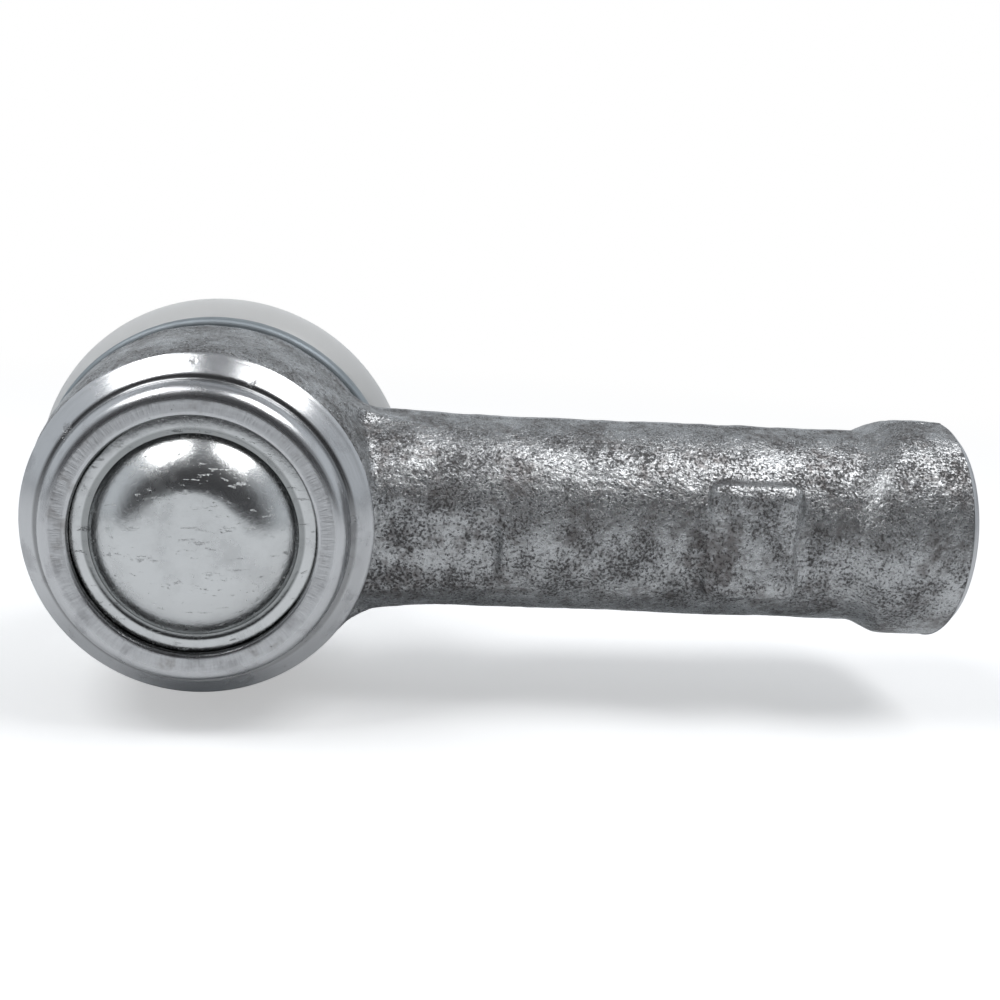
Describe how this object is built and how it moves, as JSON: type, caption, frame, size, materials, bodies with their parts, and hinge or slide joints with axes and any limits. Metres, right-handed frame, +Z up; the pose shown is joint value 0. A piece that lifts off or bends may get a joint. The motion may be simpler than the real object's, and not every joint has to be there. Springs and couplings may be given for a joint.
{
  "type": "tie rod end",
  "caption": "Outer steering ball joint: a forged threaded socket with a crimped domed cap, a dust boot and a tapered ball stud with a self-locking nut.",
  "frame": {"origin": "centre of the ball, where the stud axis meets the rod axis", "axes": "+X along the shank to its threaded end, +Y along the ball stud away from the closing cap, +Z up"},
  "size_m": [0.106, 0.085, 0.0434],
  "materials": {
    "forged_steel": "shot-blasted forging, rough grain, with turned bright faces round the cap",
    "zinc_plate": "bright zinc-plated pressing",
    "spring_steel": "oiled spring steel",
    "bearing_plastic": "natural acetal",
    "ground_steel": "ground and rolled bright steel",
    "boot_elastomer": "translucent natural elastomer, satin",
    "ring_steel": "satin zinc-plated band",
    "yellow_zinc": "passivated zinc",
    "nylon": "coloured nylon"
  },
  "bodies": {
    "housing": {"housing": "forged_steel", "closing_cap": "zinc_plate", "disc_spring": "spring_steel", "pressure_pad": "bearing_plastic", "bearing_shell": "bearing_plastic", "boot_clamp_ring": "ring_steel"},
    "boot": {"dust_boot": "boot_elastomer"},
    "boot_neck": {"boot_neck_ring": "spring_steel"},
    "stud": {"ball_stud": "ground_steel", "lock_nut": "yellow_zinc", "lock_nut_insert": "nylon"}
  },
  "joints": [
    {"name": "stud_swing", "type": "hinge", "parent": "housing", "child": "boot", "pos_m": [0, 0, 0], "axis": [0, 0, 1], "range_deg": [-16, 16], "deforming": ["dust_boot"]},
    {"name": "stud_rock", "type": "hinge", "parent": "boot", "child": "boot_neck", "pos_m": [0, 0, 0], "axis": [1, 0, 0], "range_deg": [-16, 16], "deforming": ["dust_boot"]},
    {"name": "stud_spin", "type": "hinge", "parent": "boot_neck", "child": "stud", "pos_m": [0, 0, 0], "axis": [0, 1, 0], "continuous": true}
  ]
}
